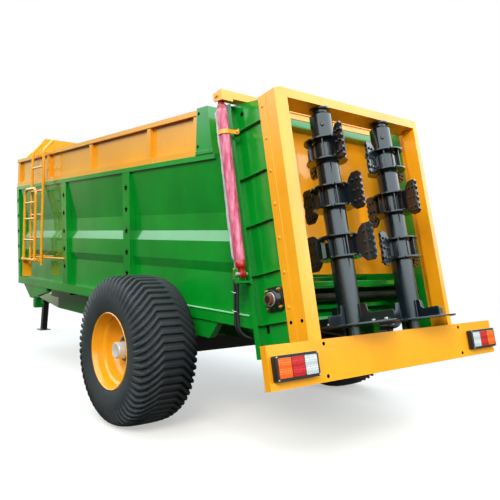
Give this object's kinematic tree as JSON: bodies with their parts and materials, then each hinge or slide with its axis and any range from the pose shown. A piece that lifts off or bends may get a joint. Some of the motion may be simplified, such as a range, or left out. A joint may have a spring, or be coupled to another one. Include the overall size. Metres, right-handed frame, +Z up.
{
  "type": "manure spreader",
  "caption": "Towed manure spreader: high narrow body with scraper floor, lifting rear gate on hydraulic cylinders, upright beaters with spreading discs, ladder and drawbar on a parking jack.",
  "frame": {"origin": "on the ground, at the middle of the footprint", "axes": "+X towards the drawbar's eye, +Y to the machine's left, +Z up"},
  "size_m": [7.379, 2.876, 2.775],
  "materials": {
    "green_enamel": "gloss green enamel on sheet and section steel",
    "yellow_enamel": "gloss warm yellow enamel",
    "dark_enamel": "dark blue-grey enamel",
    "black_enamel": "satin black enamel",
    "red_enamel": "gloss red enamel",
    "chromed_rod": "polished hard chrome",
    "bare_steel": "bare steel with light rust",
    "tyre_rubber": "black tyre rubber",
    "hose_rubber": "black hose rubber",
    "lamp_housing": "black lamp housing"
  },
  "bodies": {
    "machine": {"axle_beam": "black_enamel", "beater_frame": "yellow_enamel", "beater_gearbox": "dark_enamel", "bumper_board": "yellow_enamel", "chassis_frame": "green_enamel", "conveyor_shaft": "bare_steel", "cylinder_barrel_left": "red_enamel", "cylinder_barrel_right": "red_enamel", "cylinder_bracket_left": "green_enamel", "cylinder_bracket_right": "green_enamel", "cylinder_strap_left": "yellow_enamel", "cylinder_strap_right": "yellow_enamel", "drawbar": "green_enamel", "drive_bearing": "black_enamel", "extension_end_left": "green_enamel", "extension_end_right": "green_enamel", "extension_left": "yellow_enamel", "extension_right": "yellow_enamel", "floor_conveyor": "green_enamel", "floor_panel": "green_enamel", "front_shield": "yellow_enamel", "front_wall": "green_enamel", "hose_pair_left": "hose_rubber", "hose_pair_right": "hose_rubber", "ladder_upper": "yellow_enamel", "rear_apron": "green_enamel", "rear_crossbeam": "green_enamel", "rear_panel_left": "green_enamel", "rear_panel_right": "green_enamel", "shaft_bearing_left": "black_enamel", "shaft_bearing_right": "black_enamel", "side_frame_left": "green_enamel", "side_frame_right": "green_enamel", "side_wall_left": "green_enamel", "side_wall_right": "green_enamel", "tail_lamp_left": "lamp_housing", "tail_lamp_right": "lamp_housing", "tension_shaft": "bare_steel", "top_bearing_left": "black_enamel", "top_bearing_right": "black_enamel", "tow_eye": "black_enamel"},
    "wheel_left": {"tyre_left": "tyre_rubber", "rim_left": "yellow_enamel", "hub_left": "black_enamel"},
    "wheel_right": {"tyre_right": "tyre_rubber", "rim_right": "yellow_enamel", "hub_right": "black_enamel"},
    "beater_left": {"beater_rotor_left": "dark_enamel", "beater_disc_left": "dark_enamel"},
    "beater_right": {"beater_rotor_right": "dark_enamel", "beater_disc_right": "dark_enamel"},
    "drive_line": {"drive_shaft": "black_enamel"},
    "gate": {"gate_panel": "yellow_enamel", "gate_beam": "yellow_enamel", "cylinder_rod_left": "chromed_rod", "cylinder_rod_right": "chromed_rod"},
    "ladder": {"ladder_lower": "yellow_enamel"},
    "parking_jack": {"jack_leg": "black_enamel"}
  },
  "joints": [
    {"name": "wheel_left_spin", "type": "hinge", "parent": "machine", "child": "wheel_left", "pos_m": [-1.87247, 1.188, 0.585], "axis": [0, 1, 0], "continuous": true},
    {"name": "wheel_right_spin", "type": "hinge", "parent": "machine", "child": "wheel_right", "pos_m": [-1.87247, -1.188, 0.585], "axis": [0, 1, 0], "continuous": true},
    {"name": "beater_left_spin", "type": "hinge", "parent": "machine", "child": "beater_left", "pos_m": [-3.38327, 0.345, 0.84483], "axis": [0.2334, 0, 0.9724], "continuous": true},
    {"name": "beater_right_spin", "type": "hinge", "parent": "machine", "child": "beater_right", "pos_m": [-3.38327, -0.345, 0.84483], "axis": [0.2334, 0, 0.9724], "continuous": true},
    {"name": "drive_shaft_spin", "type": "hinge", "parent": "machine", "child": "drive_line", "pos_m": [0, 0, 0.775], "axis": [1, 0, 0], "continuous": true},
    {"name": "gate_lift", "type": "slide", "parent": "machine", "child": "gate", "axis": [0.2334, 0, 0.9724], "range_m": [0, 1]},
    {"name": "ladder_fold", "type": "hinge", "parent": "machine", "child": "ladder", "pos_m": [1.00753, 1.04, 1.19], "axis": [-1, 0, 0], "range_deg": [0, 178]},
    {"name": "jack_fold", "type": "hinge", "parent": "machine", "child": "parking_jack", "pos_m": [3.17753, 0, 0.455], "axis": [0, 1, 0], "range_deg": [0, 85]}
  ],
  "couplings": [
    {"joint": "beater_right_spin", "follows": "beater_left_spin", "ratio": -1},
    {"joint": "drive_shaft_spin", "follows": "beater_left_spin", "ratio": 2.5}
  ]
}
